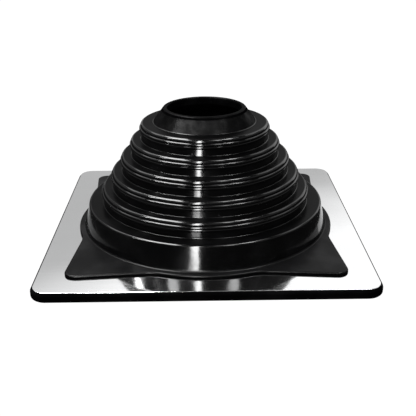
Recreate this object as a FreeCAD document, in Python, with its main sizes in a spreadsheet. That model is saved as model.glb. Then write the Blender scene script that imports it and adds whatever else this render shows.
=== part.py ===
"""Roof pipe flashing: a stepped rubber boot moulded through the opening of a square aluminium flange plate.

The ribbed underside of the rubber pad lies at z = 0 and the boot's axis is +Z. All sizes are millimetres.
"""
import FreeCAD, Part
import Sketcher
import math
import os

RING_COUNT = 5
LOBE_COUNT = 4

SIZES = {
    "plate_side": (276.0, "side of the square flange plate"),
    "plate_corner": (12.0, "corner radius of the flange plate"),
    "plate_thickness": (1.0, "sheet thickness of the flange plate"),
    "pad_margin": (2.0, "how far the rubber pad stands out past the plate"),
    "pad_thickness": (7.5, "thickness of the rubber pad under the plate"),
    "pad_edge": (2.2, "bevel along the pad's outer edges"),
    "groove_rim": (6.0, "flat rim outside the first sealing groove"),
    "groove_width": (5.0, "width of a sealing groove in the pad's underside"),
    "groove_pitch": (11.0, "distance from one sealing groove to the next"),
    "groove_depth": (2.5, "depth of a sealing groove"),
    "groove_corner": (10.0, "corner radius of a sealing groove's outer wall"),
    "web": (6.0, "rubber between the roof opening and the plate's hole"),
    "foot_thickness": (2.5, "thickness of the foot on top of the plate"),
    "foot_radius": (118.3, "round part of the foot"),
    "foot_edge": (1.0, "bevel along the foot's upper edge"),
    "lobe_margin": (33.5, "from a lobe's tip to the plate's square corner"),
    "lobe_tip": (9.0, "radius of a lobe's tip"),
    "lobe_root": (118.0, "width of a lobe where it leaves the web"),
    "lobe_blend": (35.0, "hollow blend from the foot's round part into a lobe"),
    "wall": (3.0, "wall of the boot"),
    "drum_foot_radius": (112.3, "outside of the drum at the foot"),
    "drum_radius": (108.2, "outside of the drum under its shoulder"),
    "drum_shoulder": (1.6, "bevel of the drum's shoulder"),
    "drum_height": (32.2, "height of the drum's ledge"),
    "drum_root": (1.6, "splay from the drum into the foot"),
    "ring_radius": (59.0, "crest of the top ring's upper bead"),
    "ring_step": (9.25, "growth in radius from one ring to the next"),
    "ring_pitch": (14.65, "height of one ring"),
    "rim_inset": (1.0, "from the upper bead's crest in to the rim's crest"),
    "rim_height": (3.1, "height of the rim"),
    "bead_height": (1.3, "how far the upper bead stands out of its groove"),
    "bead_width": (2.9, "width of the upper bead"),
    "low_bead_inset": (0.6, "from the upper bead's crest in to the lower one's"),
    "low_bead_width": (2.6, "width of the lower bead"),
    "riser_inset": (1.9, "from the bead's crest in to the riser's top"),
    "riser_foot": (1.1, "from the bead's crest in to the riser's foot"),
    "collar_height": (13.55, "height of the collar above the top ledge"),
    "collar_foot": (46.7, "outside of the collar at the top ledge"),
    "collar_top": (36.5, "outside of the collar under its lip"),
    "mouth_radius": (33.0, "bore of the mouth"),
    "mouth_length": (5.0, "length of the mouth's straight wall"),
    "lip": (2.0, "radius of the rounded lip"),
    "lip_drop": (0.7, "from the lip's crest down to the collar's cone"),
}

doc = FreeCAD.newDocument("PipeFlashing")
sheet = doc.addObject("Spreadsheet::Sheet", "Sizes")
for row, (alias, (size, meaning)) in enumerate(SIZES.items(), start=1):
    sheet.set(f"A{row}", meaning)
    sheet.set(f"B{row}", str(size))
    sheet.setAlias(f"B{row}", alias)
doc.recompute()


def cell(alias):
    """The expression for one size in the sheet."""
    return f"Sizes.{alias}"


def value_of(expression):
    """The number that an expression on the sheet gives."""
    return float(sheet.evalExpression(expression))


# Lengths that several pieces share, as expressions on the sheet
PLATE_HALF = f"({cell('plate_side')} / 2)"
PAD_HALF = f"({PLATE_HALF} + {cell('pad_margin')})"
PAD_CORNER = f"({cell('plate_corner')} + {cell('pad_margin')})"
PLATE_TOP = f"({cell('pad_thickness')} + {cell('plate_thickness')})"
FOOT_TOP = f"({PLATE_TOP} + {cell('foot_thickness')})"
OPENING = f"({cell('drum_radius')} - {cell('wall')})"
PLATE_HOLE = f"({OPENING} + {cell('web')})"
TOP_LEDGE = f"({cell('drum_height')} + {RING_COUNT} * {cell('ring_pitch')})"
MOUTH_TOP = f"({TOP_LEDGE} + {cell('collar_height')})"
LOBE_REACH = f"({PLATE_HALF} * sqrt(2) - {cell('lobe_margin')})"


def ring_crest(index):
    """Radius of a ring's upper bead, counted from the top."""
    return f"({cell('ring_radius')} + {index} * {cell('ring_step')})"


def ring_inside(index):
    """Radius of the hollow inside a ring; index -1 is the collar's foot."""
    if index < 0:
        return f"({cell('collar_foot')} - {cell('wall')} / 3)"
    return f"({ring_crest(index)} - {cell('riser_inset')} - {cell('wall')})"


def ring_ledge(index):
    """Height of a ring's ledge."""
    return f"({TOP_LEDGE} - {index} * {cell('ring_pitch')})"


def corner_cut(radius):
    """How far the middle of a rounded corner lies inside its two sides."""
    return f"{radius} * (1 - sqrt(0.5))"


def new_body(name):
    """An empty body whose label names its file."""
    body = doc.addObject("PartDesign::Body", name)
    body.Label = name
    body.Placement = FreeCAD.Placement()
    return body


def origin_feature(body, role):
    """One of a body's own planes or axes."""
    return next(item for item in body.Origin.OriginFeatures if item.Role == role)


def new_sketch(body, name, role, height="0", turn=0.0):
    """A sketch on one of the body's planes, lifted by an expression and turned about its normal."""
    sketch = body.newObject("Sketcher::SketchObject", name)
    sketch.AttachmentSupport = (origin_feature(body, role), [""])
    sketch.MapMode = "FlatFace"
    turned = FreeCAD.Rotation(FreeCAD.Vector(0, 0, 1), turn)
    sketch.AttachmentOffset = FreeCAD.Placement(FreeCAD.Vector(0, 0, value_of(height)), turned)
    sketch.setExpression("AttachmentOffset.Base.z", height)
    return sketch


def bind(sketch, constraint, expression):
    """Add a dimension and bind it to the sheet."""
    number = sketch.addConstraint(constraint)
    sketch.setExpression(f"Constraints[{number}]", expression)


def pin(sketch, edge, end, x, y):
    """Hold one end of an edge at the coordinates that two expressions give."""
    for kind, axis, expression in (("DistanceX", -2, x), ("DistanceY", -1, y)):
        distance = value_of(expression)
        if distance > 0:
            bind(sketch, Sketcher.Constraint(kind, -1, 1, edge, end, distance), expression)
        elif distance < 0:
            bind(sketch, Sketcher.Constraint(kind, edge, end, -1, 1, -distance), f"-({expression})")
        else:
            sketch.addConstraint(Sketcher.Constraint("PointOnObject", edge, end, axis))


def bulge(start, end, radius):
    """An arc that stands out to the left of the way from start to end."""
    chord = end - start
    rise = math.sqrt(max(radius ** 2 - chord.Length ** 2 / 4, 0))
    left = FreeCAD.Vector(-chord.y, chord.x, 0).normalize()
    centre = (start + end) * 0.5 - left * rise
    first = math.atan2(end.y - centre.y, end.x - centre.x)
    last = math.atan2(start.y - centre.y, start.x - centre.x)
    return Part.ArcOfCircle(Part.Circle(centre, FreeCAD.Vector(0, 0, 1), radius), first, last)


def draw_outline(sketch, corners):
    """Draw a closed outline clockwise. A corner (x, y, radius) starts an arc that bulges outwards."""
    points = [FreeCAD.Vector(value_of(corner[0]), value_of(corner[1]), 0) for corner in corners]
    edges = []
    for start, end, corner in zip(points, points[1:] + points[:1], corners):
        if len(corner) == 3:
            edges.append(bulge(start, end, value_of(corner[2])))
        else:
            edges.append(Part.LineSegment(start, end))
    numbers = sketch.addGeometry(edges, False)
    # A sketch's arcs run anticlockwise, so the outline enters them at their second end
    enters = [2 if len(corner) == 3 else 1 for corner in corners]
    for here, number in enumerate(numbers):
        after = (here + 1) % len(numbers)
        leaves = 3 - enters[here]
        sketch.addConstraint(Sketcher.Constraint("Coincident", number, leaves, numbers[after], enters[after]))
        pin(sketch, number, enters[here], corners[here][0], corners[here][1])
        if len(corners[here]) == 3:
            radius = corners[here][2]
            bind(sketch, Sketcher.Constraint("Radius", number, value_of(radius)), radius)


def draw_circle(sketch, radius):
    """Draw a circle about the sketch's origin."""
    circle = Part.Circle(FreeCAD.Vector(), FreeCAD.Vector(0, 0, 1), value_of(radius))
    number = sketch.addGeometry(circle, False)
    sketch.addConstraint(Sketcher.Constraint("Coincident", number, 3, -1, 1))
    bind(sketch, Sketcher.Constraint("Radius", number, value_of(radius)), radius)


def rounded_square(half, corner):
    """Corners of a square outline with rounded corners, clockwise."""
    inner = f"({half} - {corner})"
    return [
        (inner, half, corner),
        (half, inner),
        (half, f"-{inner}", corner),
        (inner, f"-{half}"),
        (f"-{inner}", f"-{half}", corner),
        (f"-{half}", f"-{inner}"),
        (f"-{half}", inner, corner),
        (f"-{inner}", half),
    ]


def add_pad(body, name, sketch, length):
    """Raise a sketch by an expression."""
    pad = body.newObject("PartDesign::Pad", name)
    pad.Profile = sketch
    pad.setExpression("Length", length)
    doc.recompute()
    return pad


def add_revolution(body, name, corners):
    """Turn a closed section in the XZ plane about the boot's axis."""
    sketch = new_sketch(body, f"{name}_section", "XZ_Plane")
    draw_outline(sketch, corners)
    revolution = body.newObject("PartDesign::Revolution", name)
    revolution.Profile = sketch
    revolution.ReferenceAxis = (sketch, ["V_Axis"])
    revolution.Angle = 360.0
    doc.recompute()
    return revolution


def add_dressing(body, kind, name, base, size, amount, wanted):
    """Fillet or bevel every edge of a feature that passes a test."""
    edges = [f"Edge{number}" for number, edge in enumerate(base.Shape.Edges, start=1) if wanted(edge)]
    dressing = body.newObject(f"PartDesign::{kind}", name)
    dressing.Base = (base, edges)
    dressing.setExpression(size, amount)
    doc.recompute()
    return dressing


def add_fillet(body, name, base, radius, wanted):
    """Round the edges that pass a test."""
    return add_dressing(body, "Fillet", name, base, "Radius", radius, wanted)


def add_bevel(body, name, base, size, wanted):
    """Bevel the edges that pass a test."""
    return add_dressing(body, "Chamfer", name, base, "Size", size, wanted)


def lies_at(edge, height):
    """Whether an edge lies flat at a height."""
    return all(abs(vertex.Point.z - height) < 0.001 for vertex in edge.Vertexes)


def off_axis(edge):
    """Distance of an edge's middle from the boot's axis, nought for a full circle round it."""
    return math.hypot(edge.CenterOfMass.x, edge.CenterOfMass.y)


def nearest(edge):
    """Distance of an edge's nearer end from the boot's axis."""
    return min(math.hypot(vertex.Point.x, vertex.Point.y) for vertex in edge.Vertexes)


def add_base_pad(body):
    """The square rubber pad with its bevelled rim, roof opening and sealing grooves."""
    outline = new_sketch(body, "pad_outline", "XY_Plane")
    draw_outline(outline, rounded_square(PAD_HALF, PAD_CORNER))
    draw_circle(outline, OPENING)
    slab = add_pad(body, "pad_slab", outline, cell("pad_thickness"))
    top = value_of(cell("pad_thickness"))
    bevelled = add_bevel(
        body, "pad_rim", slab, cell("pad_edge"),
        lambda edge: off_axis(edge) > 1 and (lies_at(edge, 0) or lies_at(edge, top)))
    room = value_of(f"{PAD_HALF} - {cell('groove_rim')} - {PLATE_HOLE}")
    count = int((room - value_of(cell("groove_width"))) // value_of(cell("groove_pitch"))) + 1
    grooves = new_sketch(body, "groove_outlines", "XY_Plane")
    for index in range(count):
        outer = f"({PAD_HALF} - {cell('groove_rim')} - {index} * {cell('groove_pitch')})"
        inner_corner = f"({cell('groove_corner')} - {cell('groove_width')})"
        draw_outline(grooves, rounded_square(outer, cell("groove_corner")))
        draw_outline(grooves, rounded_square(f"({outer} - {cell('groove_width')})", inner_corner))
    pocket = body.newObject("PartDesign::Pocket", "sealing_grooves")
    pocket.Profile = grooves
    pocket.Reversed = True
    pocket.setExpression("Length", cell("groove_depth"))
    doc.recompute()
    if pocket.Shape.Volume >= bevelled.Shape.Volume:
        raise RuntimeError("the sealing grooves cut nothing")


def add_drum(body):
    """The web through the plate's hole, the round part of the foot, and the drum with its ledge."""
    wall = cell("wall")
    radius = cell("drum_radius")
    height = cell("drum_height")
    shoulder = cell("drum_shoulder")
    foot = cell("drum_foot_radius")
    root = cell("drum_root")
    inside = ring_inside(RING_COUNT - 1)
    add_revolution(body, "drum", [
        (OPENING, "0"),
        (OPENING, f"{height} - {wall}"),
        (inside, f"{height} - {wall}"),
        (inside, height),
        (f"{radius} - {shoulder}", height),
        (radius, f"{height} - {shoulder}"),
        (foot, f"{FOOT_TOP} + {root}"),
        (f"{foot} + {root}", FOOT_TOP),
        (cell("foot_radius"), FOOT_TOP),
        (cell("foot_radius"), PLATE_TOP),
        (PLATE_HOLE, PLATE_TOP),
        (PLATE_HOLE, "0"),
    ])


def draw_lobe(sketch):
    """One lobe along +X: two flanks from the web's circle, tangent to a round tip."""
    root = value_of(f"{OPENING} + {cell('web')} / 2")
    root_half = value_of(f"{cell('lobe_root')} / 2")
    root_angle = math.asin(root_half / root)
    tip = value_of(cell("lobe_tip"))
    centre = FreeCAD.Vector(value_of(LOBE_REACH) - tip, 0, 0)
    lower = FreeCAD.Vector(root * math.cos(root_angle), -root_half, 0)
    upper = FreeCAD.Vector(lower.x, root_half, 0)
    normal = math.pi / 2 - math.atan2(root_half, centre.x - lower.x)
    touch = FreeCAD.Vector(math.cos(normal), math.sin(normal), 0) * tip
    upwards = FreeCAD.Vector(0, 0, 1)
    base, nose, flank, far_flank = sketch.addGeometry([
        Part.ArcOfCircle(Part.Circle(FreeCAD.Vector(), upwards, root), -root_angle, root_angle),
        Part.ArcOfCircle(Part.Circle(centre, upwards, tip), -normal, normal),
        Part.LineSegment(lower, centre + FreeCAD.Vector(touch.x, -touch.y, 0)),
        Part.LineSegment(upper, centre + touch),
    ], False)
    sketch.addConstraint([
        Sketcher.Constraint("Coincident", base, 3, -1, 1),
        Sketcher.Constraint("Coincident", flank, 1, base, 1),
        Sketcher.Constraint("Coincident", far_flank, 1, base, 2),
        Sketcher.Constraint("PointOnObject", nose, 3, -1),
        Sketcher.Constraint("Tangent", flank, 2, nose, 1),
        Sketcher.Constraint("Tangent", far_flank, 2, nose, 2),
    ])
    bind(sketch, Sketcher.Constraint("Radius", base, root), f"{OPENING} + {cell('web')} / 2")
    bind(sketch, Sketcher.Constraint("Radius", nose, tip), cell("lobe_tip"))
    bind(sketch, Sketcher.Constraint("DistanceX", -1, 1, nose, 3, centre.x), f"{LOBE_REACH} - {cell('lobe_tip')}")
    bind(sketch, Sketcher.Constraint("DistanceY", -1, 1, base, 2, root_half), f"{cell('lobe_root')} / 2")
    bind(sketch, Sketcher.Constraint("DistanceY", base, 1, -1, 1, root_half), f"{cell('lobe_root')} / 2")


def add_lobes(body):
    """The foot's lobes towards the plate's corners, blended into its round part and bevelled."""
    sketch = new_sketch(body, "lobe_outline", "XY_Plane", PLATE_TOP, 180.0 / LOBE_COUNT)
    draw_lobe(sketch)
    lobe = add_pad(body, "lobe", sketch, cell("foot_thickness"))
    pattern = body.newObject("PartDesign::PolarPattern", "lobes")
    pattern.Originals = [lobe]
    pattern.Axis = (origin_feature(body, "Z_Axis"), [""])
    pattern.Angle = 360.0
    pattern.Occurrences = LOBE_COUNT
    body.Tip = pattern
    doc.recompute()
    foot_radius = value_of(cell("foot_radius"))
    drum_edge = value_of(f"{cell('drum_foot_radius')} + {cell('drum_root')}")
    foot_top = value_of(FOOT_TOP)
    plate_top = value_of(PLATE_TOP)

    def is_lobe_root(edge):
        heights = sorted(vertex.Point.z for vertex in edge.Vertexes)
        upright = abs(heights[0] - plate_top) < 0.001 and abs(heights[-1] - foot_top) < 0.001
        return upright and abs(off_axis(edge) - foot_radius) < 0.01

    blended = add_fillet(body, "lobe_blends", pattern, cell("lobe_blend"), is_lobe_root)
    add_bevel(
        body, "foot_bevel", blended, cell("foot_edge"),
        lambda edge: lies_at(edge, foot_top) and nearest(edge) > drum_edge + 0.01)


def add_ring(body, index):
    """One step of the boot: ledge, rim, two beads and a riser that stands on the next ledge."""
    wall = cell("wall")
    crest = ring_crest(index)
    ledge = ring_ledge(index)
    inside = ring_inside(index)
    inside_above = ring_inside(index - 1)
    groove = f"{crest} - {cell('bead_height')}"
    rim = f"{crest} - {cell('rim_inset')}"
    low_crest = f"{crest} - {cell('low_bead_inset')}"
    rim_end = f"{ledge} - {cell('rim_height')}"
    bead_end = f"{rim_end} - {cell('bead_width')}"
    low_bead_end = f"{bead_end} - {cell('low_bead_width')}"
    riser_end = f"{ledge} - {cell('ring_pitch')} - {wall} / 2"
    add_revolution(body, f"ring_{index + 1}", [
        (inside, riser_end),
        (inside, f"{ledge} - {wall}"),
        (inside_above, f"{ledge} - {wall}"),
        (inside_above, ledge),
        (rim, ledge),
        (groove, rim_end),
        (crest, f"{rim_end} - {cell('bead_width')} / 2"),
        (groove, bead_end),
        (low_crest, f"{bead_end} - {cell('low_bead_width')} / 2"),
        (f"{crest} - {cell('riser_inset')}", low_bead_end),
        (f"{crest} - {cell('riser_foot')}", riser_end),
    ])


def add_collar(body):
    """The conical collar with its straight mouth and rounded lip."""
    ledge = ring_ledge(0)
    mouth = cell("mouth_radius")
    lip = cell("lip")
    lip_foot = f"{MOUTH_TOP} - {lip}"
    add_revolution(body, "collar", [
        (ring_inside(-1), f"{ledge} - {cell('wall')}"),
        (mouth, f"{lip_foot} - {cell('mouth_length')}"),
        (mouth, lip_foot),
        (f"{mouth} + {corner_cut(lip)}", f"{MOUTH_TOP} - {corner_cut(lip)}"),
        (f"{mouth} + {lip}", MOUTH_TOP),
        (cell("collar_top"), f"{MOUTH_TOP} - {cell('lip_drop')}"),
        (cell("collar_foot"), ledge),
        (cell("collar_foot"), f"{ledge} - {cell('wall')}"),
    ])


def make_rubber_boot():
    """The boot, its foot and its base pad, one moulding."""
    body = new_body("rubber_boot")
    add_base_pad(body)
    add_drum(body)
    add_lobes(body)
    for index in reversed(range(RING_COUNT)):
        add_ring(body, index)
    add_collar(body)
    return body


def make_flange_plate():
    """The square sheet that the boot is moulded through."""
    body = new_body("flange_plate")
    outline = new_sketch(body, "plate_outline", "XY_Plane", cell("pad_thickness"))
    draw_outline(outline, rounded_square(PLATE_HALF, cell("plate_corner")))
    draw_circle(outline, PLATE_HOLE)
    add_pad(body, "plate_sheet", outline, cell("plate_thickness"))
    return body


bodies = [make_rubber_boot(), make_flange_plate()]
doc.recompute()
failed = [item.Name for item in doc.Objects if {"Invalid", "Error"} & set(item.State)]
if failed:
    raise RuntimeError(f"these objects failed: {failed}")
for body in bodies:
    if body.Shape.isNull() or not body.Shape.isValid() or len(body.Shape.Solids) != 1:
        raise RuntimeError(f"{body.Label} is not one valid solid")

os.makedirs("parts", exist_ok=True)
for body in bodies:
    body.Shape.exportStep(f"parts/{body.Label}.step")
    print(body.Label, round(body.Shape.Volume / 1000, 2), "cm3", body.Shape.BoundBox)
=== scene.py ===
import math

import bmesh
import bpy
from bpy.props import FloatProperty, FloatVectorProperty, IntProperty, PointerProperty
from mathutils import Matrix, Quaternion, Vector


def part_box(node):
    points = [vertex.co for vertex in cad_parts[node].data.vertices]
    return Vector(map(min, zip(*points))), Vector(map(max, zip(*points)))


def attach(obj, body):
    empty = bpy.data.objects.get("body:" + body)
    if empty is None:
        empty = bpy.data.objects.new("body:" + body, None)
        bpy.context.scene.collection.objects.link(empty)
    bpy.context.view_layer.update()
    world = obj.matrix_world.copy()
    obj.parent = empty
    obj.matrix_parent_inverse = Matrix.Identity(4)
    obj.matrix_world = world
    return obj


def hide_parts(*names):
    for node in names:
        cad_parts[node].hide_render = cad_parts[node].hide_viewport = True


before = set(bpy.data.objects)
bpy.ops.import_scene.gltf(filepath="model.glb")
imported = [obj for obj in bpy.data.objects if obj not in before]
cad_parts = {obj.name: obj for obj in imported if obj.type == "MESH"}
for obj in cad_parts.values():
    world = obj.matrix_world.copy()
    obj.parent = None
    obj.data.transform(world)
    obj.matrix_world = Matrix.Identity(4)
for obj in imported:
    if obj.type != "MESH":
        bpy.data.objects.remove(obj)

bl_info = {
    "name": "Roof pipe flashing",
    "version": (1, 0, 0),
    "blender": (4, 5, 0),
    "location": "View3D > Sidebar > Flashing",
    "description": "Models a rubber roof pipe flashing on its metal flange, with its finishes and a plain studio",
    "category": "Mesh",
}

MM = 0.001
TAU = 2 * math.pi
TOUCH = 0.001 * MM  # points nearer than this are one point
CLEAR = 5 * MM  # how far a cutter reaches past what it cuts
ALONG = 0.99  # how near to 1 the share of a direction along an axis has to come

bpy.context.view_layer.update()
BOOT_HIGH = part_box("rubber_boot")[1]
PLATE_LOW, PLATE_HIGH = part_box("flange_plate")

# How many faces a curve is divided into
BEAD_FACES, LOW_BEAD_FACES = 8, 7
OUTER_ROUND_FACES, INNER_ROUND_FACES = 4, 3
LOBE_BLEND_FACES, LOBE_TIP_FACES = 8, 12
FOOT_ARC_FACES, FOOT_EDGE_FACES = 20, 4
PAD_CORNER_FACES, PAD_NOSE_FACES, GROOVE_CORNER_FACES = 12, 5, 8
PLATE_CORNER_FACES, PLATE_EDGE_FACES, HOLE_FACES = 14, 3, 192

# Edges that turn by more than this stay sharp
BOOT_CREASE, PLATE_CREASE = math.radians(38), math.radians(40)

# The turned section of the boot starts inside the pad, and its skirt ends inside the foot
WEB_START = 0.3  # share of the pad's thickness
SKIRT_INSET = 1.9 * MM  # from the foot's rim in to the skirt's end
WEB_SINK, SKIRT_SINK, DRUM_SINK = 1.4 * MM, 0.3 * MM, 0.1 * MM  # below the foot's top

# The mouth's flare, in shares of the lip's rounding
FLARE_FOOT, FLARE_TOP, FLARE_ROUND = 1.1, 0.1, 0.8

# Dullness of the rubber by vertex, from 0 for glossy to 1 for dull, which the finish reads
DULLNESS = "dullness"
LIP_DULLNESS, LEDGE_DULLNESS, INSIDE_DULLNESS = 0.9, 0.8, 1.0
LIP_DEPTH = 1.6 * MM
COLLAR_RING = 0.2  # share of the collar, from the lip down, where the lip's dullness has gone
FACING_AXIS = 0.3  # how far a normal leans to the axis on the inside
LEDGE_FROM, LEDGE_TO = 0.93, 0.995  # how far a normal points up where a ledge starts and where it is flat

# The studio, in metres
FLOOR_RADIUS, FLOOR_DROP, FLOOR_FACES = 7.5, 0.3 * MM, 96
BACKDROP_RADIUS, BACKDROP_FACES, BACKDROP_RINGS = 8, 48, 24
PALE_STRENGTH, BACK_STRENGTH, STRIP_STRENGTH = 1.05, 1.2, 36
LAMP_TARGET = (0, 0, 0.05)
SENSOR_WIDTH, CLIP_END = 36, 100

# Name, turn and height of each lamp in degrees, its distance, width and height in metres, and its watts
LAMPS = (
    ("left_softbox", -100, 67, 1.5, 1.5, 0.45, 41),
    ("side_lamp", -78, 49, 1.4, 0.1, 0.5, 8),
    ("left_lamp", -37, 52, 1.4, 0.16, 0.42, 2.5),
    ("right_lamp", 31, 54, 1.4, 0.15, 0.4, 2.2),
    ("right_softbox", 60, 67, 1.5, 1.0, 0.4, 6),
    ("right_glint", 66, 62, 1.4, 0.14, 0.3, 5),
    ("left_rear_lamp", -130, 45, 1.5, 0.9, 0.4, 3),
    ("right_rear_lamp", 125, 45, 1.5, 0.9, 0.4, 1.5),
)


# Properties


def length(name, description, value):
    """A length in metres that a user may change, with its default in millimetres."""
    return FloatProperty(name=name, description=description, default=value * MM, unit="LENGTH", precision=5)


def angle(name, description, value):
    """An angle that a user may change, with its default in degrees."""
    return FloatProperty(name=name, description=description, default=math.radians(value), subtype="ANGLE")


def share(name, description, value):
    """A number from 0 to 1 that a user may change."""
    return FloatProperty(name=name, description=description, default=value, min=0, max=1, subtype="FACTOR")


def colour(name, description, value):
    """A colour that a user may change."""
    return FloatVectorProperty(
        name=name, description=description, default=value, min=0, max=1, size=3, subtype="COLOR"
    )


class BootSizes(bpy.types.PropertyGroup):
    """Sizes of the rubber moulding."""

    pad_corner: length("Pad corner", "Corner radius of the pad", 14)
    pad_nose: length("Pad nose", "Rounding of the pad's rim, above and below", 2.2)
    grooves: IntProperty(name="Grooves", description="Number of sealing grooves", default=2, min=0, max=2)
    groove_rim: length("Groove rim", "From the pad's edge to the first sealing groove", 6)
    groove_width: length("Groove width", "Width of a sealing groove", 5)
    groove_pitch: length("Groove pitch", "From one sealing groove to the next", 11)
    groove_depth: length("Groove depth", "Depth of a sealing groove", 2.5)
    groove_corner: length("Groove corner", "Outer corner radius of a sealing groove", 10)
    opening: length("Opening", "Radius of the opening in the pad", 105.2)
    opening_top: length("Opening top", "Height of the drum's inner ledge", 29.2)
    opening_round: length("Opening rounding", "Rounding of the drum's inner corner", 1.5)
    web_radius: length("Web radius", "Radius of the rubber in the plate's hole", 111.2)
    foot_radius: length("Foot radius", "Radius of the foot's round part", 118.3)
    foot_thickness: length("Foot thickness", "Height of the foot above the plate", 2.5)
    foot_edge: length("Foot edge", "Rounding of the foot's upper edge", 1.2)
    lobe_reach: length("Lobe reach", "From the axis to a lobe's tip", 160)
    lobe_tip: length("Lobe tip", "Radius of a lobe's tip", 9)
    lobe_slant: angle("Lobe slant", "Angle between a lobe's middle and its flank's normal", 50)
    lobe_blend: length("Lobe blend", "Radius between a lobe's flank and the round part", 35)
    drum_foot: length("Drum foot", "Radius of the drum where it meets the foot", 112.64)
    drum_top: length("Drum top", "Radius of the drum at its ledge", 107.86)
    drum_height: length("Drum height", "Height of the drum's ledge", 32.8)
    drum_shoulder: length("Drum shoulder", "Rounding of the drum's upper edge", 1.5)
    drum_root: length("Drum root", "Hollow rounding between drum and foot", 1.9)
    rings: IntProperty(name="Rings", description="Number of ringed steps", default=5, min=1, max=9)
    ring_radius: length("Ring radius", "Radius over the bead of the top ring", 59.0)
    ring_step: length("Ring step", "Growth of the radius from ring to ring", 9.25)
    ring_pitch: length("Ring pitch", "Height from ring to ring", 14.65)
    ledge_fall: length("Ledge fall", "How far a ring's ledge falls from its inner edge to its rim", 0.4)
    ceiling: length("Ceiling", "From a ledge's inner edge down to the hollow under it", 3.6)
    rim_inset: length("Rim inset", "From the bead's crest in to the rim", 1.0)
    rim_height: length("Rim height", "From a ledge's inner edge down to the groove under its rim", 3.7)
    rim_round: length("Rim rounding", "Rounding of a ring's rim", 2.6)
    bead_width: length("Bead width", "Height of the upper bead", 2.9)
    bead_height: length("Bead height", "How far the upper bead stands out", 1.15)
    low_bead_width: length("Low bead width", "Height of the lower bead", 2.6)
    low_bead_inset: length("Low bead inset", "How far the lower bead stays behind the upper one", 0.6)
    riser_inset: length("Riser inset", "From the bead's crest in to the top of the riser", 1.9)
    riser_foot: length("Riser foot", "From the bead's crest in to the foot of the riser", 1.1)
    riser_root: length("Riser root", "Hollow rounding between a riser and its ledge", 0.35)
    wall: length("Wall", "Thickness of the rubber wall", 3)
    inner_round: length("Inner rounding", "Rounding of the corners inside", 0.8)
    collar_foot: length("Collar foot", "Radius of the collar at its ledge", 46.3)
    collar_root: length("Collar root", "Hollow rounding between the collar and its ledge", 0.6)
    collar_inset: length("Collar inset", "From the collar's foot in to the hollow's last corner", 1.0)
    collar_top: length("Collar top", "Radius of the collar at the lip", 36.7)
    mouth_radius: length("Mouth radius", "Radius of the straight mouth", 33)
    mouth_foot: length("Mouth foot", "Height where the straight mouth starts", 112)
    lip_round: length("Lip rounding", "Rounding of the lip", 1.2)
    turn_steps: IntProperty(name="Turn steps", description="Faces round the axis", default=192, min=24, max=512)


class PlateSizes(bpy.types.PropertyGroup):
    """Sizes of the metal flange."""

    corner: length("Corner", "Corner radius of the plate", 12)
    hole: length("Hole", "Radius of the plate's hole", 111.2)
    edge: length("Edge", "Rounding of the cut edge", 0.3)


class Finishes(bpy.types.PropertyGroup):
    """Colours and gloss of the rubber and the metal."""

    rubber: colour("Rubber", "Colour of the rubber", (0.0006, 0.0006, 0.00065))
    # This colour is also painted on the foot's flat top as painted sheen, a lighter grey that stands in for
    # reflected light.
    rubber_dust_and_sheen: colour("Rubber dust", "Colour of the faint bloom on the rubber", (0.006, 0.006, 0.0063))
    rubber_shine: share("Rubber shine", "How strongly the glossy rubber reflects", 0.4)
    rubber_roughness: share("Rubber roughness", "Roughness of the glossy rubber walls", 0.09)
    collar_roughness: share("Collar roughness", "Roughness of the duller collar", 0.3)
    ledge_roughness: share("Ledge roughness", "Roughness of the duller ledges and the foot's top", 0.32)
    rubber_wave: length("Rubber waviness", "Depth of the rubber's unevenness", 0.11)
    metal: colour("Metal", "Colour of the bright metal", (0.9, 0.905, 0.91))
    metal_roughness: share("Metal roughness", "Roughness of the polished metal", 0.07)
    metal_wave: length("Metal waviness", "Depth of the metal's unevenness", 0.6)


class Studio(bpy.types.PropertyGroup):
    """Camera and light."""

    aim: FloatVectorProperty(
        name="Aim",
        description="Point the camera looks at",
        default=(0.00265, 0, 0.01975),
        subtype="TRANSLATION",
    )
    distance: length("Distance", "From the camera to the aim", 665.2)
    azimuth: angle("Azimuth", "Turn of the camera about the upright axis", -0.64)
    elevation: angle("Elevation", "Height of the camera above the floor", 23.13)
    roll: angle("Roll", "Tilt of the camera about its line of sight", -0.4)
    lens: FloatProperty(name="Lens", description="Focal length in millimetres", default=60.49, unit="CAMERA")


# Edit mode


def begin(add, stretch=(1, 1, 1), **settings):
    """Add a primitive with nothing else selected, stretch it, and put its place into its mesh."""
    bpy.ops.object.select_all(action="DESELECT")
    add(**settings)
    bpy.context.object.scale = stretch
    bpy.ops.object.transform_apply(location=True, rotation=True, scale=True)
    return bpy.context.object


def select_only(piece):
    """Select a piece and nothing else, and make it the active one."""
    bpy.ops.object.select_all(action="DESELECT")
    piece.select_set(True)
    bpy.context.view_layer.objects.active = piece


def edit(piece):
    """Open a piece in edit mode with nothing selected."""
    select_only(piece)
    bpy.ops.object.mode_set(mode="EDIT")
    bpy.ops.mesh.select_mode(type="VERT")
    bpy.ops.mesh.select_all(action="DESELECT")


def close_edit():
    """Leave edit mode, and return the piece that was open."""
    bpy.ops.object.mode_set(mode="OBJECT")
    return bpy.context.object


def merge_doubles(threshold=TOUCH):
    """Merge all points of the open mesh that lie together, and leave everything selected."""
    bpy.ops.mesh.select_all(action="SELECT")
    bpy.ops.mesh.remove_doubles(threshold=threshold)
    bpy.ops.mesh.select_all(action="SELECT")


def pick(kind, test):
    """Select the vertices, edges or faces of the open mesh that pass a test."""
    bpy.ops.mesh.select_mode(type={"verts": "VERT", "edges": "EDGE", "faces": "FACE"}[kind])
    bpy.ops.mesh.select_all(action="DESELECT")
    mesh = bpy.context.object.data
    layer = bmesh.from_edit_mesh(mesh)
    found = [item for item in getattr(layer, kind) if test(item)]
    if not found:
        raise RuntimeError(f"no {kind} found to select on {bpy.context.object.name}")
    for item in found:
        item.select_set(True)
    bmesh.update_edit_mesh(mesh)


def bevel_edges(offset, segments):
    """Round the selected edges of the open mesh."""
    bpy.ops.mesh.bevel(offset=offset, segments=segments, affect="EDGES")


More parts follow.
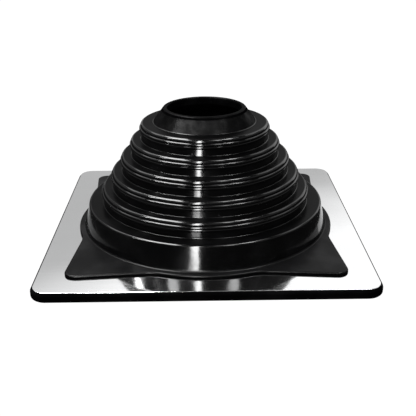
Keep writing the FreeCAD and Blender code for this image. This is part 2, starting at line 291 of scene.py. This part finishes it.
def upright(edge):
    """Whether an edge runs along the upright axis."""
    run = edge.verts[1].co - edge.verts[0].co
    return abs(run.z) > ALONG * run.length


def at_height(edge, height):
    """Whether an edge lies level at a height."""
    return all(abs(vertex.co.z - height) < TOUCH for vertex in edge.verts)


class Pen:
    """Draws an outline in edit mode, stroke by stroke, from a primitive merged to one point."""

    def __init__(self, start, across=(1, 0, 0), up=(0, 0, 1)):
        self.across, self.up = Vector(across), Vector(up)
        self.turn = -self.across.cross(self.up)
        self.at = start
        self.rounds = {}
        edit(begin(bpy.ops.mesh.primitive_plane_add, size=MM, location=self.place(start)))
        bpy.ops.mesh.select_all(action="SELECT")
        bpy.ops.mesh.merge(type="CENTER")

    def place(self, point):
        """Where a point of the outline is in space."""
        return self.across * point[0] + self.up * point[1]

    def to(self, *points):
        """Straight strokes to each point. A third number rounds the corner there by that much."""
        for point in points:
            stroke = self.place(point) - self.place(self.at)
            bpy.ops.mesh.extrude_region_move(TRANSFORM_OT_translate={"value": stroke})
            self.at = point[:2]
            if len(point) == 3:
                self.rounds.setdefault(point[2], []).append(self.place(point))

    def arc(self, centre, sweep, steps):
        """A round stroke about a centre, counter-clockwise for a positive sweep."""
        bpy.ops.mesh.spin(steps=steps, angle=sweep, center=self.place(centre), axis=self.turn)
        du, dv = self.at[0] - centre[0], self.at[1] - centre[1]
        c, s = math.cos(sweep), math.sin(sweep)
        self.at = (centre[0] + c * du - s * dv, centre[1] + s * du + c * dv)

    def bead(self, end, height, steps):
        """A round bead from here up to a point, standing out to the right by its height."""
        half = math.dist(self.at, end) / 2
        radius = (half * half + height * height) / (2 * height)
        du, dv = end[0] - self.at[0], end[1] - self.at[1]
        back = (radius - height) / (2 * half)
        centre = ((self.at[0] + end[0]) / 2 - dv * back, (self.at[1] + end[1]) / 2 + du * back)
        self.arc(centre, 2 * math.acos((radius - height) / radius), steps)

    def round_corners(self, segments):
        """Round the corners that were given a rounding."""
        for amount, corners in self.rounds.items():
            pick("verts", lambda v: any((v.co - corner).length < TOUCH for corner in corners))
            bpy.ops.mesh.bevel(offset=amount, segments=segments, affect="VERTICES", clamp_overlap=False)

    def turned(self, steps):
        """Spin the section about the upright axis into a closed solid."""
        bpy.ops.mesh.select_all(action="SELECT")
        bpy.ops.mesh.spin(steps=steps, angle=TAU, center=(0, 0, 0), axis=(0, 0, 1))
        return self.finished()

    def raised(self, height):
        """Fill the outline and extrude it upwards into a closed solid."""
        merge_doubles()
        bpy.ops.mesh.edge_face_add()
        bpy.ops.mesh.extrude_region_move(TRANSFORM_OT_translate={"value": (0, 0, height)})
        return self.finished()

    def finished(self):
        """Close the seams, turn the faces outwards and leave edit mode."""
        merge_doubles()
        bpy.ops.mesh.normals_make_consistent(inside=False)
        return close_edit()


# Modifiers


def apply_modifier(piece, kind, **settings):
    """Add a modifier with its settings, and apply it."""
    select_only(piece)
    modifier = piece.modifiers.new(kind.title(), kind)
    for key, value in settings.items():
        setattr(modifier, key, value)
    bpy.ops.object.modifier_apply(modifier=modifier.name)


def combine(piece, tool, operation):
    """Join a tool to a piece or cut it away, and delete the tool."""
    apply_modifier(piece, "BOOLEAN", object=tool, operation=operation, solver="MANIFOLD")
    bpy.data.objects.remove(tool)
    if not piece.data.polygons:
        raise RuntimeError(f"{piece.name} was lost when a tool was combined with it")


def smooth(piece, crease):
    """Smooth shading with sharp creases, weighted so that flat faces stay flat."""
    edit(piece)
    merge_doubles(2 * TOUCH)
    close_edit()
    bpy.ops.object.shade_smooth_by_angle(angle=crease)
    apply_modifier(piece, "WEIGHTED_NORMAL", keep_sharp=True)


def mark_dullness(piece):
    """Note on each vertex how dull the rubber is there: on the lip, on the inside and on flat tops."""
    layer = piece.data.attributes.new(DULLNESS, "FLOAT", "POINT")
    for vertex, mark in zip(piece.data.vertices, layer.data):
        outwards = vertex.normal.xy.dot(vertex.co.xy)
        flat = min(max((vertex.normal.z - LEDGE_FROM) / (LEDGE_TO - LEDGE_FROM), 0), 1)
        if vertex.co.z > BOOT_HIGH.z - LIP_DEPTH:
            mark.value = LIP_DULLNESS
        elif outwards < -FACING_AXIS * vertex.co.xy.length:
            mark.value = INSIDE_DULLNESS
        else:
            mark.value = LEDGE_DULLNESS * flat


def hand_over(piece, name, finish):
    """Name a finished piece, give it its finish and let it ride on the one body."""
    piece.name = piece.data.name = name
    piece.data.materials.clear()
    piece.data.materials.append(finish)
    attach(piece, "root")


# Finishes


class Value:
    """A socket whose arithmetic adds Math nodes to its node tree."""

    def __init__(self, nodes, socket):
        self.nodes, self.socket = nodes, socket

    def math(self, operation, first, second):
        return self.nodes.add("ShaderNodeMath", {"operation": operation}, {0: first, 1: second})

    def __add__(self, other):
        return self.math("ADD", self, other)

    def __radd__(self, other):
        return self.math("ADD", other, self)

    def __sub__(self, other):
        return self.math("SUBTRACT", self, other)

    def __rsub__(self, other):
        return self.math("SUBTRACT", other, self)

    def __mul__(self, other):
        return self.math("MULTIPLY", self, other)

    def __rmul__(self, other):
        return self.math("MULTIPLY", other, self)

    def larger(self, other):
        return self.math("MAXIMUM", self, other)


class Nodes:
    """A node tree and the coordinates that its patterns read."""

    def __init__(self, tree, coordinates):
        self.tree = tree
        self.place = self.add("ShaderNodeTexCoord", output=coordinates)

    def link(self, socket, value):
        """Give a socket a link from a value, or a plain number or colour."""
        if isinstance(value, Value):
            self.tree.links.new(value.socket, socket)
        else:
            socket.default_value = value

    def add(self, kind, settings=None, sockets=None, output=0):
        """A node with its settings, then the values or links of its sockets."""
        node = self.tree.nodes.new(kind)
        for key, value in (settings or {}).items():
            if key == "stops":
                ramp = node.color_ramp.elements
                while len(ramp) < len(value):
                    ramp.new(1)
                for stop, (position, grey) in zip(ramp, value):
                    stop.position, stop.color = position, (grey, grey, grey, 1)
            else:
                setattr(node, key, value)
        for key, value in (sockets or {}).items():
            self.link(node.inputs[key], value)
        return Value(self, node.outputs[output])

    def noise(self, scale, detail=2.0, roughness=0.5, place=None):
        """Noise with its scale in repeats per metre."""
        settings = {"Vector": place or self.place, "Scale": scale, "Detail": detail, "Roughness": roughness}
        return self.add("ShaderNodeTexNoise", None, settings)

    def ramp(self, value, *stops):
        """A grey for a value, from stops of position and grey."""
        return self.add("ShaderNodeValToRGB", {"stops": stops}, {0: value})

    def range(self, value, low, high, new_low=0.0, new_high=1.0):
        """A soft step from one number to another as a value goes from low to high."""
        settings = {"interpolation_type": "SMOOTHSTEP", "clamp": True}
        return self.add("ShaderNodeMapRange", settings, {0: value, 1: low, 2: high, 3: new_low, 4: new_high})

    def axis(self, name):
        """One of the coordinates."""
        return self.add("ShaderNodeSeparateXYZ", None, {0: self.place}, name)

    def mix(self, factor, first, second):
        """A colour between two."""
        colours = {0: factor, 6: (*first, 1), 7: (*second, 1)}
        return self.add("ShaderNodeMix", {"data_type": "RGBA"}, colours, 2)

    def bump(self, height, depth):
        """A normal from a height."""
        return self.add("ShaderNodeBump", None, {"Distance": depth, "Height": height})


class Finish(Nodes):
    """A node material with one Principled shader, or two where a second is blended in."""

    def __init__(self, name, uniform):
        """What is the same all over the surface goes on the shader's own sockets."""
        self.material = bpy.data.materials.new(name)
        self.material.use_nodes = True
        super().__init__(self.material.node_tree, "Object")
        self.shaders = [self.tree.nodes["Principled BSDF"]]
        for socket, value in uniform.items():
            self.feed(socket, value)

    def feed(self, name, value):
        """Give a socket of each shader its value or link."""
        for shader in self.shaders:
            self.link(shader.inputs[name], value)

    def blend(self, factor, uniform):
        """Mix in a second Principled shader where the factor is high."""
        first = Value(self, self.shaders[0].outputs[0])
        second = self.add("ShaderNodeBsdfPrincipled", None, uniform)
        self.shaders.append(second.socket.node)
        mixed = self.add("ShaderNodeMixShader", None, {0: factor, 1: first, 2: second})
        self.link(self.tree.nodes["Material Output"].inputs["Surface"], mixed)


def rubber_finish(look, size):
    """Glossy black moulded rubber, duller on ledges, collar, lip and foot, with a faint dusty film, unevenness and
    painted sheen on the foot's flat top.
    """
    finish = Finish("glossy_black_rubber", {"Specular IOR Level": look.rubber_shine})
    plate_top = PLATE_HIGH.z
    foot_top = plate_top + size.foot_thickness
    collar_foot = size.drum_height + size.rings * size.ring_pitch
    height = finish.axis("Z")

    def step(level, start, end, before=0.0, after=1.0):
        """A soft step by height, between two distances in millimetres from a level."""
        return finish.range(height, level + start * MM, level + end * MM, before, after)

    cloud = finish.noise(38, detail=4, roughness=0.55)
    grain = finish.noise(120, detail=3, roughness=0.6)
    specks = finish.range(finish.noise(420, detail=1), 0.735, 0.77)

    collar = step(collar_foot, -0.1, 0.55) * step(BOOT_HIGH.z, -1.1, -0.7, before=1.0, after=0.0)
    low = step(foot_top, 0.9, 2.3, before=1.0, after=0.0)
    ledges = finish.add("ShaderNodeAttribute", {"attribute_name": DULLNESS}, output="Fac")
    foot = low * ledges * step(plate_top, -0.1, 0.3)
    foot_edge = step(plate_top, 1.1, 1.7)

    # A second shader without shine shows on the dull parts, less on the foot's rounded edge and in its worn patches
    edge_gloss, foot_gloss = 0.35, 0.2
    collar_dullness, collar_grain = 0.9, 0.14
    dull_parts = ledges.larger(low * (1 - foot_edge * edge_gloss))
    sheen = finish.range(cloud, 0.3, 0.75) * foot * foot_gloss
    satin = collar_dullness - finish.range(grain, 0.4, 0.7) * collar_grain
    finish.blend(dull_parts + collar * satin - sheen, {"Specular IOR Level": 0.0})

    # Faint clouded dust and specks of dust, plus painted sheen: the foot's flat top is painted lighter to stand in
    # for the grey sheen of reflected light on it.
    cloud_bloom, speck_bloom, foot_painted_sheen = 0.22, 0.5, 0.4
    dust_and_sheen = finish.range(cloud, 0.45, 0.75) * cloud_bloom + specks * speck_bloom + foot * foot_painted_sheen
    finish.feed("Base Color", finish.mix(dust_and_sheen, look.rubber, look.rubber_dust_and_sheen))

    cloud_roughness, speck_roughness = 0.04, 0.15
    walls = look.rubber_roughness + finish.range(cloud, 0.35, 0.7) * cloud_roughness + specks * speck_roughness
    on_collar = look.collar_roughness - look.rubber_roughness
    on_ledges = look.ledge_roughness - look.rubber_roughness
    finish.feed("Roughness", walls + (collar * on_collar + dull_parts * on_ledges))

    fine_share = 0.025
    wave = finish.noise(85) + finish.noise(900) * fine_share
    finish.feed("Normal", finish.bump(wave, look.rubber_wave))
    return finish.material


def metal_finish(look):
    """Bright rolled aluminium with faint clouding, waviness and rolling lines."""
    finish = Finish("bright_aluminium", {"Metallic": 1.0})
    cloud = finish.noise(14, detail=3, roughness=0.55)
    drawn = finish.add("ShaderNodeMapping", None, {"Vector": finish.place, "Scale": (6, 420, 6)})
    lines = finish.noise(1, detail=4, roughness=0.7, place=drawn)

    cloud_shade, shade = 0.35, tuple(0.9 * part for part in look.metal)
    finish.feed("Base Color", finish.mix(finish.range(cloud, 0.35, 0.7) * cloud_shade, look.metal, shade))

    line_roughness, cloud_roughness = 0.05, 0.03
    worn = finish.range(lines, 0.4, 0.75) * line_roughness
    hazy = finish.range(cloud, 0.4, 0.7) * cloud_roughness
    finish.feed("Roughness", look.metal_roughness + worn + hazy)

    line_depth = 0.002
    finish.feed("Normal", finish.bump(finish.noise(9, detail=1) + lines * line_depth, look.metal_wave))
    return finish.material


# Pieces


def boot_outside(size):
    """The turned outside of the boot as a solid: web, drum, ringed steps and collar."""
    top = BOOT_HIGH.z
    web_start = WEB_START * PLATE_LOW.z
    foot_top = PLATE_HIGH.z + size.foot_thickness
    pen = Pen((0, web_start))
    pen.to(
        (size.web_radius, web_start),
        (size.web_radius, foot_top - WEB_SINK),
        (size.foot_radius - SKIRT_INSET, foot_top - SKIRT_SINK),
        (size.drum_foot, foot_top - DRUM_SINK, size.drum_root),
        (size.drum_top, size.drum_height, size.drum_shoulder),
    )
    for ring in reversed(range(size.rings)):
        crest = size.ring_radius + ring * size.ring_step
        ledge = size.drum_height + (size.rings - ring) * size.ring_pitch
        bead_top = ledge - size.rim_height
        bead_foot = bead_top - size.bead_width
        low_foot = bead_foot - size.low_bead_width
        valley = crest - size.bead_height
        riser = crest - size.riser_inset
        stand = crest - size.low_bead_inset - (riser + valley) / 2
        pen.to((crest - size.riser_foot, ledge - size.ring_pitch, size.riser_root), (riser, low_foot))
        pen.bead((valley, bead_foot), stand, LOW_BEAD_FACES)
        pen.bead((valley, bead_top), size.bead_height, BEAD_FACES)
        pen.to((crest - size.rim_inset, ledge - size.ledge_fall, size.rim_round))
    ring_radius = size.collar_top + COLLAR_RING * (size.collar_foot - size.collar_top)
    pen.to(
        (size.collar_foot, ledge, size.collar_root),
        (ring_radius, top - COLLAR_RING * (top - ledge)),
        (size.collar_top, top, size.lip_round),
        (0, top),
    )
    pen.round_corners(OUTER_ROUND_FACES)
    return pen.turned(size.turn_steps)


def boot_inside(size):
    """The turned hollow of the boot as a solid, open at the mouth and the underside."""
    top = BOOT_HIGH.z
    pen = Pen((0, -CLEAR))
    pen.to((size.opening, -CLEAR), (size.opening, size.opening_top, size.opening_round))
    for ring in reversed(range(size.rings)):
        inside = size.ring_radius + ring * size.ring_step - size.riser_inset - size.wall
        ceiling = size.drum_height + (size.rings - ring) * size.ring_pitch - size.ceiling
        pen.to((inside, ceiling - size.ring_pitch, size.inner_round), (inside, ceiling, size.inner_round))
    flare = size.lip_round
    pen.to(
        (size.collar_foot - size.collar_inset, ceiling, size.inner_round),
        (size.mouth_radius, size.mouth_foot, size.inner_round),
        (size.mouth_radius, top - FLARE_FOOT * flare, FLARE_ROUND * flare),
        (size.mouth_radius + flare, top + FLARE_TOP * flare),
        (size.mouth_radius + flare, top + CLEAR),
        (0, top + CLEAR),
    )
    pen.round_corners(INNER_ROUND_FACES)
    return pen.turned(size.turn_steps)


def boot_foot(size):
    """The foot on the plate: a round disc with a lobe towards each corner of the plate."""
    slant, blend = size.lobe_slant, size.lobe_blend
    tip = size.lobe_reach - size.lobe_tip
    hub = size.foot_radius + blend
    flank_line = tip * math.cos(slant) + size.lobe_tip
    spread = math.acos((flank_line + blend) / hub)
    meet = slant - spread

    def out(radius, turn):
        return radius * math.cos(turn), radius * math.sin(turn)

    pen = Pen(out(size.foot_radius, TAU / 8 - meet), up=(0, 1, 0))
    for lobe in range(4):
        turn = TAU / 8 + lobe * TAU / 4
        centre = out(tip, turn)
        pen.arc(out(hub, turn - meet), -spread, LOBE_BLEND_FACES)
        nose = out(size.lobe_tip, turn - slant)
        pen.to((centre[0] + nose[0], centre[1] + nose[1]))
        pen.arc(centre, 2 * slant, LOBE_TIP_FACES)
        flank = out(hub, turn + meet)
        blend_start = out(blend, turn + slant)
        pen.to((flank[0] - blend_start[0], flank[1] - blend_start[1]))
        pen.arc(flank, -spread, LOBE_BLEND_FACES)
        pen.arc((0, 0), TAU / 4 - 2 * meet, FOOT_ARC_FACES)
    edit(pen.raised(size.foot_thickness))
    bpy.ops.mesh.select_all(action="SELECT")
    bpy.ops.transform.translate(value=(0, 0, PLATE_HIGH.z))
    pick("edges", lambda e: at_height(e, PLATE_HIGH.z + size.foot_thickness))
    bevel_edges(size.foot_edge, FOOT_EDGE_FACES)
    return close_edit()


def rounded_block(half, low, high, corner, segments):
    """A square block with rounded upright corners, left open in edit mode."""
    block = begin(
        bpy.ops.mesh.primitive_cube_add,
        stretch=(2 * half, 2 * half, high - low),
        size=1,
        location=(0, 0, (low + high) / 2),
    )
    edit(block)
    pick("edges", upright)
    bevel_edges(corner, segments)
    return block


def groove_cutter(size, inset):
    """A square frame that cuts one sealing groove into the underside."""
    rounded_block(BOOT_HIGH.x - inset, -CLEAR, size.groove_depth, size.groove_corner, GROOVE_CORNER_FACES)
    pick("faces", lambda f: abs(f.normal.z) > ALONG)
    bpy.ops.mesh.inset(thickness=size.groove_width, depth=0, use_individual=True)
    bpy.ops.mesh.bridge_edge_loops()
    bpy.ops.mesh.select_all(action="SELECT")
    bpy.ops.mesh.normals_make_consistent(inside=False)
    return close_edit()


def boot_pad(size):
    """The pad under the plate, with a rounded rim and sealing grooves in its underside."""
    top = PLATE_LOW.z
    pad = rounded_block(BOOT_HIGH.x, 0, top, size.pad_corner, PAD_CORNER_FACES)
    pick("edges", lambda e: at_height(e, 0) or at_height(e, top))
    bevel_edges(size.pad_nose, PAD_NOSE_FACES)
    close_edit()
    for groove in range(size.grooves):
        combine(pad, groove_cutter(size, size.groove_rim + groove * size.groove_pitch), "DIFFERENCE")
    return pad


class FLASHING_OT_boot(bpy.types.Operator):
    """Model the rubber boot in one piece: pad, web, lobed foot, drum, ringed steps and collar"""

    bl_idname = "flashing.boot"
    bl_label = "Rubber boot"
    bl_options = {"REGISTER", "UNDO"}

    def execute(self, context):
        size = context.scene.flashing_boot
        boot = boot_outside(size)
        combine(boot, boot_foot(size), "UNION")
        combine(boot, boot_pad(size), "UNION")
        combine(boot, boot_inside(size), "DIFFERENCE")
        smooth(boot, BOOT_CREASE)
        mark_dullness(boot)
        hand_over(boot, "moulded_boot", rubber_finish(context.scene.flashing_finish, size))
        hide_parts("rubber_boot")
        return {"FINISHED"}


class FLASHING_OT_plate(bpy.types.Operator):
    """Model the square metal flange with its hole and softened edges"""

    bl_idname = "flashing.plate"
    bl_label = "Metal flange"
    bl_options = {"REGISTER", "UNDO"}

    def execute(self, context):
        size = context.scene.flashing_plate
        low, high = PLATE_LOW.z, PLATE_HIGH.z
        plate = rounded_block(PLATE_HIGH.x, low, high, size.corner, PLATE_CORNER_FACES)
        close_edit()
        punch = begin(
            bpy.ops.mesh.primitive_cylinder_add,
            vertices=HOLE_FACES,
            radius=size.hole,
            depth=2 * CLEAR,
            location=(0, 0, high),
        )
        combine(plate, punch, "DIFFERENCE")

        def on_rim(edge):
            """Whether an edge is on the plate's outer rim, above or below."""
            level = at_height(edge, low) or at_height(edge, high)
            outside = all(vertex.co.xy.length > size.hole + MM for vertex in edge.verts)
            return level and outside and edge.calc_face_angle(0) > TAU / 8

        edit(plate)
        pick("edges", on_rim)
        bevel_edges(size.edge, PLATE_EDGE_FACES)
        close_edit()
        smooth(plate, PLATE_CREASE)
        hand_over(plate, "flange_sheet", metal_finish(context.scene.flashing_finish))
        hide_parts("flange_plate")
        return {"FINISHED"}


# Studio


def towards(azimuth, elevation):
    """The way from the object to a camera or lamp at these angles."""
    level = math.cos(elevation)
    return Vector((math.sin(azimuth) * level, -math.cos(azimuth) * level, math.sin(elevation)))


def glow(name, strength):
    """A surface that only gives light."""
    finish = Finish(name, {"Roughness": 1.0, "Specular IOR Level": 0.0, "Emission Strength": strength})
    finish.feed("Base Color", (0, 0, 0, 1))
    finish.feed("Emission Color", (1, 1, 1, 1))
    return finish


def back_light():
    """Light behind the object, white above and to the right and grey towards the lower left."""
    finish = glow("back_light", BACK_STRENGTH)
    lean, haze_depth = 0.35, 0.12
    rise = finish.axis("Z") + finish.axis("X") * lean
    haze = finish.noise(2.5) * haze_depth - haze_depth / 2
    finish.feed("Emission Color", finish.ramp(finish.range(rise, 0.68, 0.95) + haze, (0, 0.42), (1, 0.95)))
    return finish.material


def strip_light():
    """An upright strip of strong light, dimmer on its left, that narrows and fades towards its foot."""
    finish = glow("strip_light", STRIP_STRENGTH)
    height = finish.axis("Z")
    taper = finish.range(height, -0.17, 0.06, new_low=0.09, new_high=0.0)
    across = finish.range(finish.axis("X") - taper, -0.3, -0.235, new_low=0.3)
    fade = finish.range(height, -0.17, 0.04) * across
    finish.feed("Emission Color", finish.ramp(fade, (0, 0.12), (1, 1)))
    return finish.material


def panel(name, finish, centre, turn, width, height):
    """An upright light panel that only reflections and the light it gives can show."""
    board = begin(
        bpy.ops.mesh.primitive_plane_add,
        stretch=(width, height, 1),
        size=1,
        location=centre,
        rotation=(TAU / 4, 0, math.radians(turn)),
    )
    board.name = name
    board.data.materials.append(finish)
    board.visible_camera = False
    board.visible_shadow = False


def pale_surface(surface, name):
    """Make a surface an even pale ground that neither lights the object nor shows in its reflections."""
    surface.name = name
    surface.data.materials.append(glow(f"pale_{name}", PALE_STRENGTH).material)
    surface.visible_glossy = False
    surface.visible_diffuse = False
    surface.visible_shadow = False
    return surface


def lamp(name, azimuth, elevation, distance, width, height, watts):
    """A soft rectangular lamp that faces the object."""
    way = towards(math.radians(azimuth), math.radians(elevation))
    data = bpy.data.lights.new(name, "AREA")
    data.shape, data.size, data.size_y, data.energy = "RECTANGLE", width, height, watts
    light = bpy.data.objects.new(name, data)
    light.location = Vector(LAMP_TARGET) + way * distance
    light.rotation_euler = (-way).to_track_quat("-Z", "Y").to_euler()
    light.visible_camera = False
    bpy.context.scene.collection.objects.link(light)


def surroundings():
    """A dim world with a paler band above the floor, which the metal shows from every side."""
    world = bpy.data.worlds.new("studio")
    world.use_nodes = True
    nodes = Nodes(world.node_tree, "Generated")
    band = nodes.ramp(nodes.axis("Z"), (0.1, 0.03), (0.28, 0.35), (0.55, 0.35), (0.8, 0.06))
    nodes.link(nodes.tree.nodes["Background"].inputs["Color"], band)
    return world


def photo_camera(studio):
    """The camera at the photograph's viewing angle."""
    camera = bpy.data.objects.new("camera", bpy.data.cameras.new("camera"))
    camera.data.lens, camera.data.sensor_width = studio.lens, SENSOR_WIDTH
    camera.data.clip_end = CLIP_END
    way = towards(studio.azimuth, studio.elevation)
    camera.location = Vector(studio.aim) + way * studio.distance
    level = (-way).to_track_quat("-Z", "Y")
    camera.rotation_euler = (level @ Quaternion((0, 0, 1), studio.roll)).to_euler()
    return camera


class FLASHING_OT_stage(bpy.types.Operator):
    """Set the pale floor, the soft lights and the camera"""

    bl_idname = "flashing.stage"
    bl_label = "Studio"
    bl_options = {"REGISTER", "UNDO"}

    def execute(self, context):
        scene = context.scene
        disc = begin(
            bpy.ops.mesh.primitive_circle_add,
            vertices=FLOOR_FACES,
            radius=FLOOR_RADIUS,
            fill_type="NGON",
            location=(0, 0, -FLOOR_DROP),
        )
        floor = pale_surface(disc, "floor")
        dome = begin(
            bpy.ops.mesh.primitive_uv_sphere_add,
            segments=BACKDROP_FACES,
            ring_count=BACKDROP_RINGS,
            radius=BACKDROP_RADIUS,
        )
        sky = pale_surface(dome, "backdrop")

        panel("back_panel", back_light(), centre=(0.6, 1.6, 0.8), turn=0, width=2.8, height=1.5)
        panel("strip", strip_light(), centre=(-0.216, -1.244, 0.84), turn=-8.53, width=0.16, height=2.02)
        for settings in LAMPS:
            lamp(*settings)

        scene.world = surroundings()
        scene.view_settings.view_transform = "Standard"
        scene.view_settings.look = "None"
        camera = photo_camera(scene.flashing_studio)
        scene.collection.objects.link(camera)
        scene.camera = camera
        return {"FINISHED"}


class FLASHING_PT_panel(bpy.types.Panel):
    """Sizes, finishes and steps of the flashing"""

    bl_idname = "FLASHING_PT_panel"
    bl_label = "Roof pipe flashing"
    bl_space_type = "VIEW_3D"
    bl_region_type = "UI"
    bl_category = "Flashing"

    def draw(self, context):
        for name, step in STEPS.items():
            box = self.layout.box()
            group = getattr(context.scene, name)
            for key in group.bl_rna.properties.keys():
                if key not in {"rna_type", "name"}:
                    box.prop(group, key)
            if step:
                box.operator(step)


GROUPS = {
    "flashing_boot": BootSizes,
    "flashing_plate": PlateSizes,
    "flashing_finish": Finishes,
    "flashing_studio": Studio,
}
STEPS = {
    "flashing_finish": None,
    "flashing_boot": "flashing.boot",
    "flashing_plate": "flashing.plate",
    "flashing_studio": "flashing.stage",
}
CLASSES = (*GROUPS.values(), FLASHING_OT_boot, FLASHING_OT_plate, FLASHING_OT_stage, FLASHING_PT_panel)


def register():
    for cls in CLASSES:
        bpy.utils.register_class(cls)
    for name, group in GROUPS.items():
        setattr(bpy.types.Scene, name, PointerProperty(type=group))


def unregister():
    for name in GROUPS:
        delattr(bpy.types.Scene, name)
    for cls in reversed(CLASSES):
        bpy.utils.unregister_class(cls)


def main():
    register()
    bpy.ops.flashing.boot()
    bpy.ops.flashing.plate()
    bpy.ops.flashing.stage()


if __name__ == "__main__":
    main()
